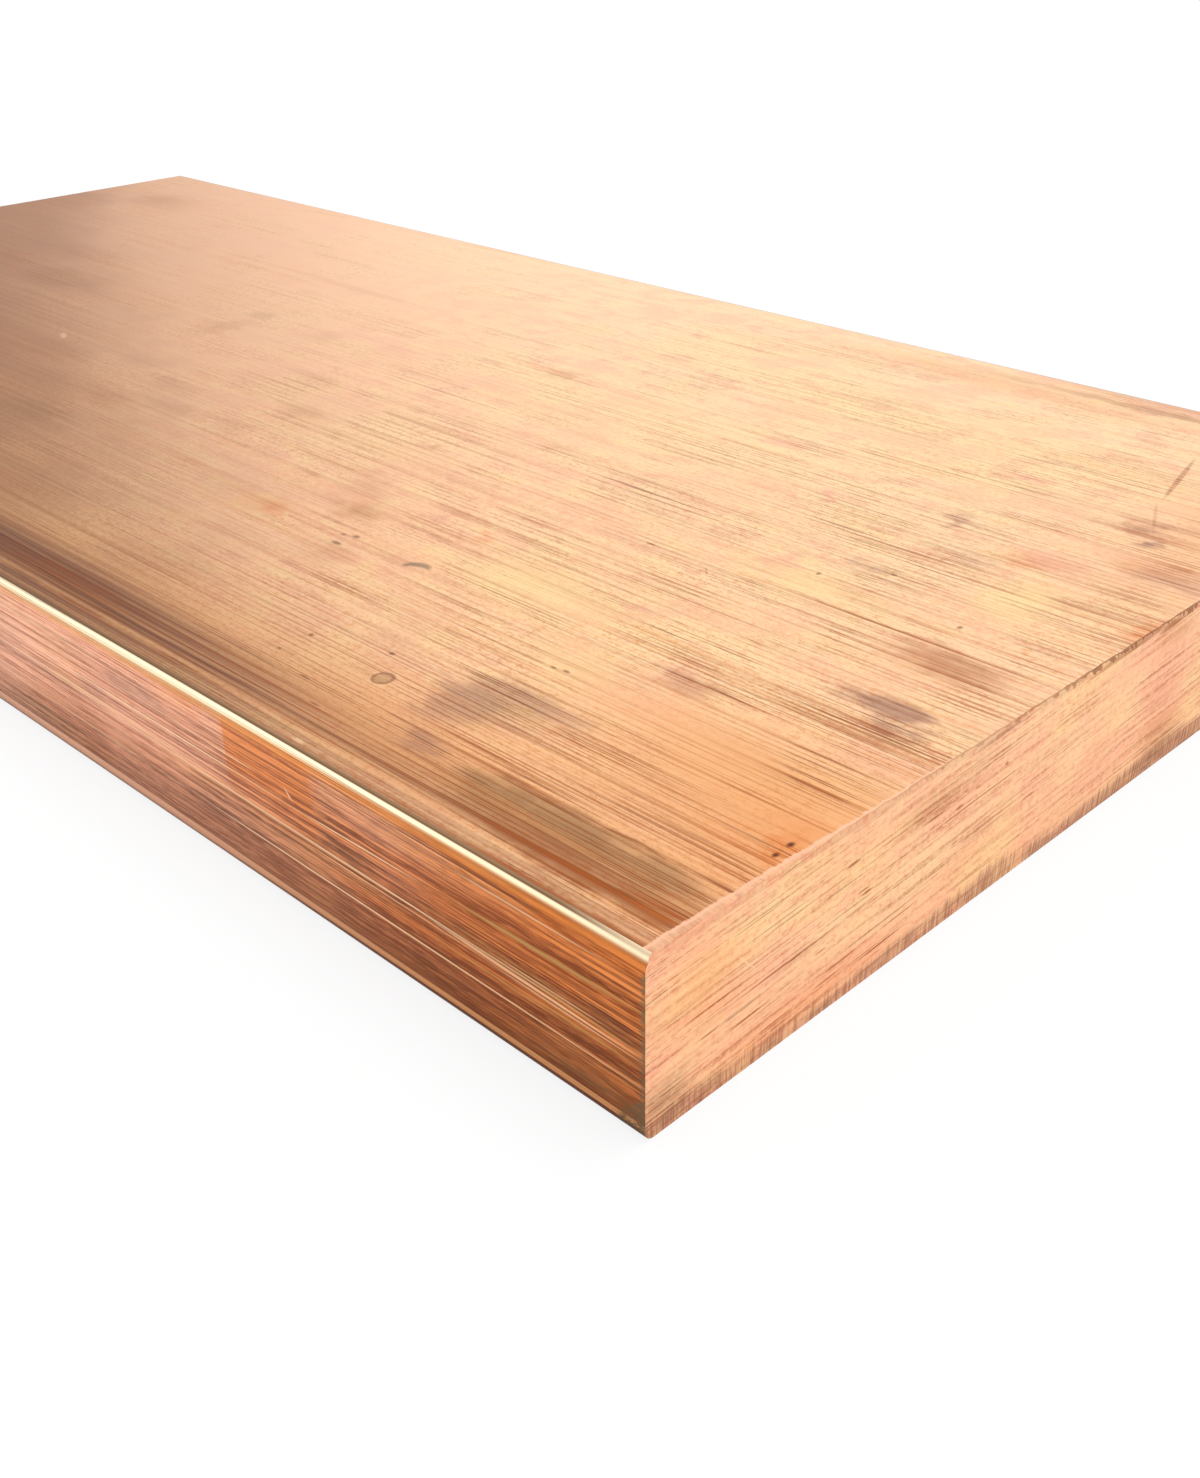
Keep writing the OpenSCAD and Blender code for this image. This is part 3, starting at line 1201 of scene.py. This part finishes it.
@dataclass(frozen=True, kw_only=True)
class SawnEndFinish(Finish):
    """The two sawn ends: matt and pink, with fine lines that lean by some degrees."""

    lean: float
    stray: tuple[float, float] = (1.2, 0.35)
    relief_depth: float = 0.015
    marks: Marks = field(
        default_factory=lambda: {
            Blemish.LIGHT: (
                Mark(-25, 5.6, 10, 3.2, 1.0),
                Mark(-35, 6.2, 6, 2.4, 0.6),
                Mark(-14, 11.3, 9, 1.8, 0.6),
                Mark(-7.5, 6.5, 3, 4, 0.5),
            ),
            Blemish.WARMTH: (
                Mark(-46.2, 8.3, 7, 6, 0.6),
                Mark(-20.5, 4.35, 8, 1.4, 0.3),
                Mark(-38.4, 1.75, 16, 2, 0.5),
            ),
            Blemish.BLOOM: (
                Mark(-3.5, 5.35, 4, 2.4, 0.6),
                Mark(5.0, 6.35, 5, 6, 0.9),
                Mark(-50.5, 6.35, 2.4, 8, 0.5),
                Mark(1.5, 10.8, 12, 2, 0.4),
                Mark(-33.4, 11.3, 8, 2, 0.3),
            ),
            Blemish.SMOKE: (
                Mark(6, 11.4, 5, 2.0, 0.5),
                Mark(6, 3.0, 5, 2.4, 0.6),
            ),
            Blemish.SMUDGE: (
                Mark(-38.4, 5.75, 4.5, 0.9, 0.25),
                Mark(-32.8, 10.1, 1.2, 0.6, 0.15),
            ),
            Blemish.RUST: (
                Mark(-24.4, 10.4, 7, 1.7, 0.55),
                Mark(-25.9, 9.9, 2.8, 0.7, 0.6),
                Mark(-18.5, 5.85, 5, 0.6, 0.2),
            ),
            Blemish.OLIVE: (
                Mark(-49.4, 1.9, 3.4, 2.6, 0.75),
                Mark(-46, 0.9, 3.0, 1.0, 0.5),
                Mark(-27, 0.9, 5, 1.0, 0.3),
                Mark(6.5, 1.55, 6, 1.6, 0.6),
            ),
        }
    )
    scratches: Marks = field(
        default_factory=lambda: {
            Blemish.LINE: (
                Mark(-39.2, 5.9, 5, 0.07, 0.8),
                Mark(-38.2, 5.91, 1.0, 0.09),
                Mark(-45.6, 4.77, 1.0, 0.1),
                Mark(-35.6, 5.01, 0.8, 0.09, 0.9),
                Mark(-45, 6.67, 3.4, 0.07, 0.9),
                Mark(-48.5, 7.55, 2.4, 0.08, 0.5),
                Mark(-34.7, 9.25, 2.0, 0.09, 0.7),
                Mark(-32.8, 9.95, 0.9, 0.13),
                Mark(-24.4, 9.32, 1.8, 0.1),
                Mark(-18.9, 8.56, 6.8, 0.08),
                Mark(-21.6, 8.82, 0.6, 0.09),
                Mark(-31.5, 7.43, 0.9, 0.1),
                Mark(-31.2, 7.12, 0.9, 0.1, 0.9),
                Mark(-17.5, 5.65, 4, 0.08, 0.6),
                Mark(-18.5, 6, 5, 0.07, 0.5),
                Mark(-12.9, 5.79, 1.2, 0.1, 0.9),
                Mark(-15.5, 6.55, 5, 0.07, 0.6),
                Mark(-42.2, 3.95, 1.7, 0.08, 0.9),
                Mark(-27.4, 3.45, 2.8, 0.09, 0.7),
                Mark(-33.4, 3.11, 2.2, 0.09, 0.9),
                Mark(-34.8, 2.45, 1.5, 0.1, 0.9),
                Mark(-29.4, 2.19, 3, 0.09, 0.9),
                Mark(-39.9, 2.09, 2.2, 0.09, 0.8),
                Mark(-18.9, 2.35, 5.2, 0.08, 0.7),
                Mark(-16.3, 9.8, 0.25, 0.18),
                Mark(-17.5, 11, 4, 0.07, 0.5),
                Mark(4.9, 12.3, 2.4, 0.3, 0.8),
                Mark(-1.5, 12.45, 8, 0.2, 0.6),
            ),
            Blemish.PALE: (Mark(-42.4, 7.9, 1.8, 0.1, 0.6, -48),),
        }
    )

    def build(self) -> bpy.types.Material:
        """Makes the material.

        Returns:
            The sawn ends' material.
        """
        face = MetalShader("Sawn end", (1, 2), self.stray, self.lean)
        near = face.x > 0.0
        clouds = face.pattern(0.07, 0.14)
        tints = face.pattern(0.15, 0.4, shift=5.0)
        streaks = face.pattern(0.04, 1.7, 3.0, 0.75)
        hatch = face.pattern(0.05, 3.0, 2.0, 0.85, shift=3.0)
        scores = face.pattern(0.09, 5.0, 1.0, shift=8.0)
        mottle = face.pattern(1.5, 2.6, 2.0, 0.9)
        lines = face.ramp(hatch, 0.5, 0.64) * face.ramp(mottle, 0.35, 0.6, 0.6, 1.2)

        colour = face.blend(face.ramp(tints, 0.4, 0.6), Copper.APRICOT, Copper.BLUSH)
        colour = face.blend(face.ramp(clouds, 0.5, 0.65) * 0.35, colour, Copper.YELLOW)
        colour = face.blend(face.ramp(clouds + 0.5 * (tints - 0.5), 0.46, 0.34) * 0.2, colour, Copper.ROSE)
        colour, _ = face.blemished(colour, self.marks, near, lines)
        colour = face.blend(face.ramp(mottle, 0.48, 0.7) * 0.45, colour, Copper.SALMON)
        worn = face.ramp(tints + 0.6 * streaks, 0.66, 0.95)
        colour = face.blend(face.ramp(streaks, 0.52, 0.7) * 0.15, colour, Copper.RUSSET)
        colour = face.blend(lines * (0.12 + 0.24 * worn), colour, Copper.RUSSET)
        colour = face.blend(face.ramp(hatch, 0.44, 0.34) * 0.45, colour, Copper.PALE)
        colour = face.blend(face.ramp(scores, 0.69, 0.75) * 0.4, colour, Copper.UMBER)
        colour = face.blend(face.ramp(mottle, 0.58, 0.72) * 0.12, colour, Copper.RUSSET)
        colour = face.blend(face.ramp(mottle, 0.5, 0.3) * 0.35, colour, Copper.PALE)
        colour, _ = face.blemished(colour, self.scratches, near, lines)
        colour = self._lower_band(face, colour, clouds)
        colour = self._upper_lip(face, colour, near)

        roughness = 0.48 + 0.1 * tints
        relief = 1.0 - 0.6 * lines - 0.4 * mottle
        return face.finish(colour, roughness, relief, self.relief_depth)

    @staticmethod
    def _lower_band(
        face: MetalShader, colour: bpy.types.NodeSocket, clouds: Value
    ) -> bpy.types.NodeSocket:
        """Darkens the bevel along the lower edge, with file marks down it.

        Args:
            face: The face's shader.
            colour: The end's colour.
            clouds: The clouds, which vary the band's height.

        Returns:
            The colour with its lower band.
        """
        file_marks = face.pattern(5.0, 0.25, 2.0, 0.7)
        patchy = face.pattern(0.25, 0.5, shift=6.0)
        height = 1.2 + 2.0 * (clouds - 0.5) + 0.8 * (file_marks - 0.5)
        band = face.ramp(face.z, height + 0.7, height - 0.5) * face.ramp(file_marks, 0.35, 0.65, 0.4, 1.0)
        colour = face.blend(band * face.ramp(patchy, 0.35, 0.6, 0.3, 0.7), colour, Copper.SLATE)
        colour = face.blend(band * face.ramp(file_marks, 0.5, 0.62) * 0.38, colour, Copper.RUSSET)
        return face.blend(band * face.ramp(face.y, -8.0, 8.0, 0.05, 0.4), colour, Copper.BROWN)

    def _upper_lip(
        self, face: MetalShader, colour: bpy.types.NodeSocket, near: Value
    ) -> bpy.types.NodeSocket:
        """Lightens the broken upper edge at the front and darkens the rest of it.

        Args:
            face: The face's shader.
            colour: The end's colour.
            near: 1 on the near end and 0 on the far one.

        Returns:
            The colour with its upper lip.
        """
        crumbs = face.pattern(0.9, 0.6, 4.0, 0.8, shift=2.0)
        ticks = face.ramp(crumbs, 0.45, 0.68)
        rim = self.thickness - 0.05 - ticks * face.ramp(face.y, -14.0, -6.0, 0.16, 0.36)
        lip = face.ramp(face.z, rim - 0.04, rim + 0.02) * face.ramp(face.y, -16.0, -2.0, 0.5, 1.0)
        # The paler flush at the front is partly the filed metal's own colour and partly a painted
        # highlight.
        pale = face.ramp(face.y, -22.0, -36.0) * near
        flush = face.ramp(face.z, self.thickness - 0.5, self.thickness - 0.3) * pale
        colour = face.blend(flush * (0.2 + 0.6 * ticks), colour, Copper.SALMON)
        return face.blend(lip * (1.0 - 0.8 * pale) * 0.7, colour, Copper.BROWN)


# ---------------------------------------------------------------------------------------------------
# The plate
# ---------------------------------------------------------------------------------------------------


@dataclass
class DrawnPlate:
    """The plate itself: one length of drawn bar. Sizes are in millimetres, angles in degrees."""

    name: str = "drawn_plate"
    node: str = "plate"
    slot: str = "copper"
    corner_radius: float = 0.8
    top_break: float = 0.3
    bevel_height: float = 1.2
    bevel_depth: float = 0.05
    line_depth: float = 0.012
    saw_depth: float = 0.03
    saw_lean: float = 2.4
    crisp_angle: float = 28.0
    cells_along: int = 110
    cells_across: int = 280
    cells_through: int = 44
    # Features to the metre along X, Y and Z. On the ends, X only tells one end from the other.
    die_grain: tuple[float, float, float] = (4.0, 1200.0, 1200.0)
    saw_grain: tuple[float, float, float] = (3.0, 60.0, 1000.0)
    file_grain: tuple[float, float, float] = (7.0, 900.0, 200.0)
    length: float = field(init=False)
    width: float = field(init=False)
    thickness: float = field(init=False)

    def __post_init__(self) -> None:
        """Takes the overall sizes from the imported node."""
        low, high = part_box(self.node)
        self.length, self.width, self.thickness = (side / MM for side in high - low)

    def build(self) -> bpy.types.Object:
        """Draws the bar, saws it and dresses it.

        Returns:
            The finished piece.
        """
        settings = self._settings()
        shape = self._shape_tree(settings)
        mesh = bpy.data.meshes.new(self.name)
        piece = bpy.data.objects.new(self.name, mesh)
        bpy.context.scene.collection.objects.link(piece)
        modifier = piece.modifiers.new("Shape", "NODES")
        modifier.node_group = shape
        for item in shape.interface.items_tree:
            if item.in_out == "INPUT":
                modifier[item.identifier] = settings[item.name]
        bpy.context.view_layer.update()
        evaluated = piece.evaluated_get(bpy.context.evaluated_depsgraph_get())
        piece.data = bpy.data.meshes.new_from_object(evaluated)
        piece.modifiers.remove(modifier)
        piece.data.name = self.name
        bpy.data.meshes.remove(mesh)
        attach(piece, "root")
        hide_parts(self.node)
        return piece

    def _settings(self) -> dict[str, Any]:
        """Names what the shape tree needs.

        Returns:
            Each input's value, by the input's name.
        """
        size = {"length": self.length, "width": self.width, "thickness": self.thickness}
        return {
            "Length": self.length * MM,
            "Width": self.width * MM,
            "Thickness": self.thickness * MM,
            "Corner Radius": self.corner_radius * MM,
            "Top Break": self.top_break * MM,
            "Bevel Height": self.bevel_height * MM,
            "Bevel Depth": self.bevel_depth * MM,
            "Line Depth": self.line_depth * MM,
            "Saw Depth": self.saw_depth * MM,
            "Cells Along": self.cells_along,
            "Cells Across": self.cells_across,
            "Cells Through": self.cells_through,
            "Broad Face": BroadFaceFinish(**size).build(),
            "Drawn Edge": DrawnEdgeFinish(**size).build(),
            "Sawn End": SawnEndFinish(**size, lean=self.saw_lean).build(),
        }

    def _shape_tree(self, settings: Mapping[str, Any]) -> bpy.types.NodeTree:
        """Makes the Geometry Nodes tree that draws and saws the bar.

        Args:
            settings: The inputs that the tree gets: lengths, numbers of cells and materials.

        Returns:
            The tree.
        """
        tree = bpy.data.node_groups.new("Drawn and sawn bar", "GeometryNodeTree")
        kinds = {float: "Float", int: "Int", bpy.types.Material: "Material"}
        for name, setting in settings.items():
            socket_type = "NodeSocket" + kinds[type(setting)]
            tree.interface.new_socket(name, in_out="INPUT", socket_type=socket_type)
        tree.interface.new_socket("Geometry", in_out="OUTPUT", socket_type="NodeSocketGeometry")
        graph = Graph(tree)
        sockets = graph.node("NodeGroupInput").outputs
        given = {socket.name: Value(graph, socket) for socket in sockets if socket.name}
        size = graph.join(given["Length"], given["Width"], given["Thickness"])
        cube = graph.node(
            "GeometryNodeMeshCube",
            inputs={
                "Size": size,
                "Vertices X": given["Cells Along"] + 1,
                "Vertices Y": given["Cells Across"] + 1,
                "Vertices Z": given["Cells Through"] + 1,
            },
        )
        shape = cube.outputs["Mesh"]
        shape = self._spread_cells(graph, given, shape)
        shape = self._draw_section(graph, given, shape)
        shape = self._saw_ends(graph, given, shape)
        shape = self._shade(graph, shape)
        realized = graph.node("GeometryNodeRealizeInstances", inputs={"Geometry": shape}).outputs[0]
        dressed = self._set_finishes(graph, given, realized)
        graph.node("NodeGroupOutput", inputs={"Geometry": dressed})
        return tree

    @staticmethod
    def _position(graph: Graph) -> tuple[Value, Value, Value]:
        """Gives the point's own place, as three numbers."""
        return graph.split(graph.node("GeometryNodeInputPosition").outputs[0])

    @staticmethod
    def _move(graph: Graph, shape: Any, x: Number, y: Number, z: Number) -> bpy.types.NodeSocket:
        """Moves every point to a new place.

        Args:
            graph: The shape tree's graph.
            shape: The geometry.
            x: The new X.
            y: The new Y.
            z: The new Z.

        Returns:
            The moved geometry.
        """
        inputs = {"Geometry": shape, "Position": graph.join(x, y, z)}
        return graph.node("GeometryNodeSetPosition", inputs=inputs).outputs[0]

    def _spread_cells(
        self, graph: Graph, given: Mapping[str, Value], shape: Any
    ) -> bpy.types.NodeSocket:
        """Crowds the cells towards the corners, where the shape turns.

        Args:
            graph: The shape tree's graph.
            given: The tree's inputs.
            shape: The evenly divided box.

        Returns:
            The box with a line of cells on each tangent of the corners.
        """
        spread = []
        cells = ("Cells Along", "Cells Across", "Cells Through")
        sides = ("Length", "Width", "Thickness")
        margins = (given["Corner Radius"] * 3.0, given["Corner Radius"], given["Corner Radius"])
        edge_cells = (8.0, 5.0, 5.0)
        parts = self._position(graph)
        for place, cell, side, margin, count in zip(parts, cells, sides, margins, edge_cells):
            half = given[side] / 2.0
            share = abs(place) / half
            turn = 1.0 - 2.0 * count / given[cell]
            inner = graph.ramp(share, 0.0, turn, 0.0, half - margin, smooth=False)
            outer = graph.ramp(share, turn, 1.0, 0.0, margin, smooth=False)
            spread.append(graph.math("SIGN", place) * (inner + outer))
        return self._move(graph, shape, *spread)

    def _draw_section(
        self, graph: Graph, given: Mapping[str, Value], shape: Any
    ) -> bpy.types.NodeSocket:
        """Rounds the long corners and cuts the die's lines.

        Args:
            graph: The shape tree's graph.
            given: The tree's inputs.
            shape: The box.

        Returns:
            The drawn bar, with its bottom face at zero.
        """
        x, y, z = self._position(graph)
        radius = given["Corner Radius"]
        flat_y = given["Width"] / 2.0 - radius
        flat_z = given["Thickness"] / 2.0 - radius
        past_y = graph.highest(abs(y) - flat_y, 0.0)
        past_z = graph.highest(abs(z) - flat_z, 0.0)
        reach = graph.math("SQRT", past_y * past_y + past_z * past_z)
        pull = radius / graph.highest(reach, radius)
        lines = graph.noise(graph.placed(graph.join(x, y, z), self.die_grain), 2.0)
        depth = given["Line Depth"] * lines / radius
        out_y = past_y * pull * (1.0 - depth)
        out_z = past_z * pull * (1.0 - depth)
        new_y = graph.math("SIGN", y) * (graph.lowest(abs(y), flat_y) + out_y)
        new_z = graph.math("SIGN", z) * (graph.lowest(abs(z), flat_z) + out_z)
        return self._move(graph, shape, x, new_y, new_z + given["Thickness"] / 2.0)

    def _saw_ends(self, graph: Graph, given: Mapping[str, Value], shape: Any) -> bpy.types.NodeSocket:
        """Cuts the ends to length, with the filed break above, the bevel below and the saw's marks.

        Args:
            graph: The shape tree's graph.
            given: The tree's inputs.
            shape: The drawn bar.

        Returns:
            The sawn plate.
        """
        x, y, z = self._position(graph)
        half = given["Length"] / 2.0
        end = graph.math("SIGN", x)
        rag = graph.noise(graph.placed(graph.join(end, y, z), self.file_grain), 3.0, 0.6)
        cut = graph.join(end, y, z - math.tan(math.radians(self.saw_lean)) * y)
        marks = graph.noise(graph.placed(cut, self.saw_grain), 2.0)
        # The file's strokes leave the bevel and the break uneven
        bevel = given["Bevel Height"] * (0.6 + 0.8 * rag)
        below = graph.highest(bevel - z, 0.0) / bevel * given["Bevel Depth"]
        broken = given["Top Break"] * (0.3 + 1.2 * rag)
        above = graph.highest(z - given["Thickness"] + broken, 0.0)
        trimmed = half - below - above - given["Saw Depth"] * marks
        return self._move(graph, shape, x * trimmed / half, y, z)

    def _shade(self, graph: Graph, shape: Any) -> bpy.types.NodeSocket:
        """Smooths the faces and keeps the sawn edges crisp.

        Args:
            graph: The shape tree's graph.
            shape: The plate.

        Returns:
            The shaded plate.
        """
        smooth = graph.node("GeometryNodeSetShadeSmooth", {"domain": "FACE"}, {"Geometry": shape})
        angle = graph.value("GeometryNodeInputMeshEdgeAngle")
        crisp = angle > math.radians(self.crisp_angle)
        inputs = {"Geometry": smooth.outputs[0], "Selection": crisp, "Shade Smooth": False}
        return graph.node("GeometryNodeSetShadeSmooth", {"domain": "EDGE"}, inputs).outputs[0]

    def _set_finishes(
        self, graph: Graph, given: Mapping[str, Value], shape: Any
    ) -> bpy.types.NodeSocket:
        """Gives each face its finish.

        Args:
            graph: The shape tree's graph.
            given: The tree's inputs.
            shape: The plate.

        Returns:
            The dressed plate.
        """
        _, y, _ = self._position(graph)
        facing_x, _, facing_z = graph.split(graph.node("GeometryNodeInputNormal").outputs[0])
        mostly = 0.5
        level = abs(facing_z) > mostly
        broad = level * (abs(y) < given["Width"] / 2.0 - given["Corner Radius"])
        sawn = abs(facing_x) > mostly
        choices = {"Drawn Edge": True, "Broad Face": broad, "Sawn End": sawn}
        for finish, chosen in choices.items():
            inputs = {"Geometry": shape, "Selection": chosen, "Material": given[finish]}
            shape = graph.node("GeometryNodeSetMaterial", inputs=inputs).outputs[0]
        return shape


# ---------------------------------------------------------------------------------------------------
# The studio
# ---------------------------------------------------------------------------------------------------


@dataclass(frozen=True)
class CameraPose:
    """Where the camera stands, in millimetres and degrees."""

    place: tuple[float, float, float] = (147.55, -99.31, 64.23)
    azimuth: float = 45.31
    elevation: float = 29.78
    roll: float = 0.9
    lens: float = 39.36

    def build(self) -> None:
        """Makes the scene's camera."""
        data = bpy.data.cameras.new("Camera")
        data.lens = self.lens
        data.clip_start = 5 * MM
        camera = bpy.data.objects.new("Camera", data)
        bpy.context.scene.collection.objects.link(camera)
        turn = Matrix.Rotation(math.radians(self.azimuth), 4, "Z")
        tilt = Matrix.Rotation(math.radians(90 - self.elevation), 4, "X")
        lean = Matrix.Rotation(math.radians(-self.roll), 4, "Z")
        camera.matrix_world = Matrix.Translation(Vector(self.place) * MM) @ turn @ tilt @ lean
        bpy.context.scene.camera = camera


@dataclass(frozen=True)
class SkyLight:
    """A soft patch of the sky that is brighter than the rest, or dimmer where its gain is negative.

    Angles are in degrees, and the azimuth runs from +X towards +Y.
    """

    azimuth: float
    elevation: float
    core: float
    reach: float
    gain: float

    def strength(self, graph: Graph, heading: bpy.types.NodeSocket) -> Value:
        """Gives the light that the patch adds.

        Args:
            graph: The world's graph.
            heading: The direction that is looked up, as a unit vector.

        Returns:
            The added strength.
        """
        azimuth = math.radians(self.azimuth)
        elevation = math.radians(self.elevation)
        flat = math.cos(elevation)
        axis = (flat * math.cos(azimuth), flat * math.sin(azimuth), math.sin(elevation))
        inputs = {0: heading, 1: axis}
        near = graph.value("ShaderNodeVectorMath", {"operation": "DOT_PRODUCT"}, inputs, "Value")
        rim = math.cos(math.radians(self.reach))
        heart = math.cos(math.radians(self.core))
        return graph.ramp(near, rim, heart, 0.0, self.gain)


@dataclass(frozen=True)
class Studio:
    """A pale floor under a soft sky, with a window, a lamp and shade between the two.

    The window is behind the plate and the lamp to its left. The floor's size is in metres, and
    angles are in degrees.
    """

    floor_size: float = 6.0
    floor_white: float = 0.9
    floor_glow: float = 0.86
    dimmest: float = 0.72
    window: SkyLight = SkyLight(azimuth=112, elevation=18, core=25, reach=48, gain=0.38)
    shade: SkyLight = SkyLight(azimuth=166, elevation=18, core=10, reach=24, gain=-0.32)
    side_lamp: SkyLight = SkyLight(azimuth=198, elevation=38, core=8, reach=22, gain=1.0)
    overhead: float = 1.5
    overhead_spread: float = 30.0
    overhead_tilt: tuple[float, float] = (-12.0, 8.0)

    def build(self) -> None:
        """Makes the floor, the sky and the overhead lamp."""
        self._floor()
        self._sky()
        self._lamp()
        bpy.context.scene.view_settings.view_transform = "Standard"

    def _floor(self) -> None:
        """Makes the floor, which looks white but keeps the plate's shadow."""
        half = self.floor_size / 2
        corners = [(-half, -half, 0), (half, -half, 0), (half, half, 0), (-half, half, 0)]
        mesh = bpy.data.meshes.new("Floor")
        mesh.from_pydata(corners, [], [(0, 1, 2, 3)])
        floor = bpy.data.objects.new("Floor", mesh)
        bpy.context.scene.collection.objects.link(floor)
        material = bpy.data.materials.new("Pale floor")
        material.use_nodes = True
        graph = Graph(material.node_tree)
        graph.tree.nodes.clear()
        matt = graph.node("ShaderNodeBsdfDiffuse", inputs={"Color": (self.floor_white,) * 3})
        glow = graph.node("ShaderNodeEmission", inputs={"Color": (1.0, 1.0, 1.0), "Strength": 1.0})
        seen = graph.value("ShaderNodeLightPath", output="Is Camera Ray")
        shares = {0: seen * self.floor_glow, 1: matt.outputs[0], 2: glow.outputs[0]}
        mixed = graph.node("ShaderNodeMixShader", inputs=shares)
        graph.node("ShaderNodeOutputMaterial", inputs={"Surface": mixed.outputs[0]})
        mesh.materials.append(material)

    def _sky(self) -> None:
        """Makes the sky, which is plain white where the camera sees it."""
        world = bpy.data.worlds.new("Studio")
        bpy.context.scene.world = world
        world.use_nodes = True
        graph = Graph(world.node_tree)
        graph.tree.nodes.clear()
        heading = graph.node("ShaderNodeTexCoord").outputs["Generated"]
        soft = self.dimmest + self.window.strength(graph, heading)
        soft = soft + self.shade.strength(graph, heading) + self.side_lamp.strength(graph, heading)
        seen = graph.value("ShaderNodeLightPath", output="Is Camera Ray")
        level = soft + seen * (1.0 - soft)
        sky = graph.node("ShaderNodeBackground", inputs={"Color": (1.0, 1.0, 1.0), "Strength": level})
        graph.node("ShaderNodeOutputWorld", inputs={"Surface": sky.outputs[0]})

    def _lamp(self) -> None:
        """Makes the lamp overhead, which lights the floor."""
        data = bpy.data.lights.new("Overhead", "SUN")
        data.energy = self.overhead
        data.angle = math.radians(self.overhead_spread)
        lamp = bpy.data.objects.new("Overhead", data)
        bpy.context.scene.collection.objects.link(lamp)
        lamp.rotation_euler = (*map(math.radians, self.overhead_tilt), 0.0)


def main() -> None:
    """Builds the plate and the studio."""
    logging.basicConfig(level=logging.INFO, format="%(name)s: %(message)s")
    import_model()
    CameraPose().build()
    Studio().build()
    piece = DrawnPlate().build()
    log.info("%s: %d faces", piece.name, len(piece.data.polygons))


if __name__ == "__main__":
    main()
